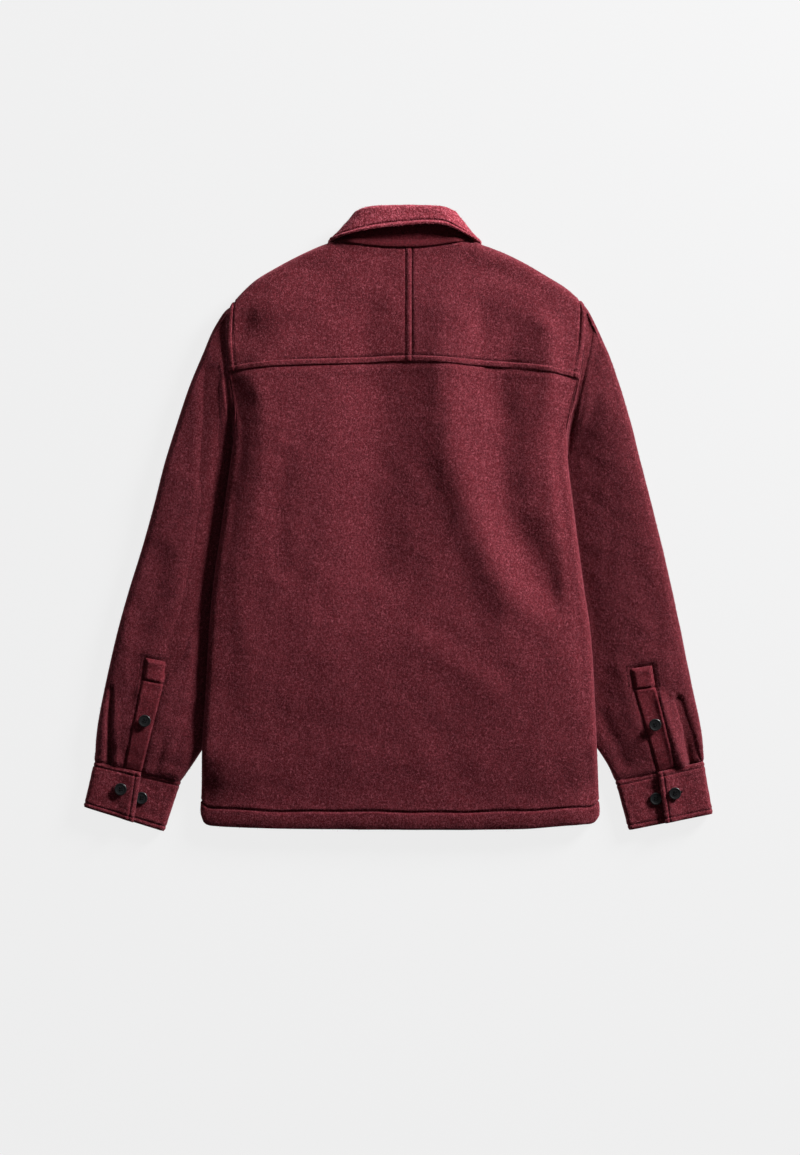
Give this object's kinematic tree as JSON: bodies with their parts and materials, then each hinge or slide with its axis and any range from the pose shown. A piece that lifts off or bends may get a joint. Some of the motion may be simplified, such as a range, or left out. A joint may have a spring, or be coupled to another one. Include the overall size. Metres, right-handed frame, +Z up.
{
  "type": "shacket",
  "caption": "Wool shirt jacket lying on its front: split yoke, collar on a stand, sleeves with box-end plackets and buttoned cuffs.",
  "frame": {"origin": "middle of the underside, on the surface that the garment lies on", "axes": "+Z up from that surface, +Y from the hem to the collar, +X to the wearer's right sleeve"},
  "size_m": [0.8033, 0.7969, 0.0463],
  "materials": {
    "wool": "felted",
    "stand": "smooth",
    "button": "satin"
  },
  "bodies": {
    "root": {"back": "wool", "yoke_left": "wool", "front_left": "wool", "sleeve_left": "wool", "sleeve_placket_left": "wool", "cuff_left": "wool", "yoke_right": "wool", "front_right": "wool", "sleeve_right": "wool", "sleeve_placket_right": "wool", "cuff_right": "wool", "collar_stand": "stand", "collar_leaf": "wool", "button_cuff_left": "button", "button_cuff_second_left": "button", "button_placket_left": "button", "button_cuff_right": "button", "button_cuff_second_right": "button", "button_placket_right": "button", "button_front_1": "button", "button_front_2": "button", "button_front_3": "button", "button_front_4": "button", "button_front_5": "button", "button_front_6": "button"}
  },
  "joints": []
}
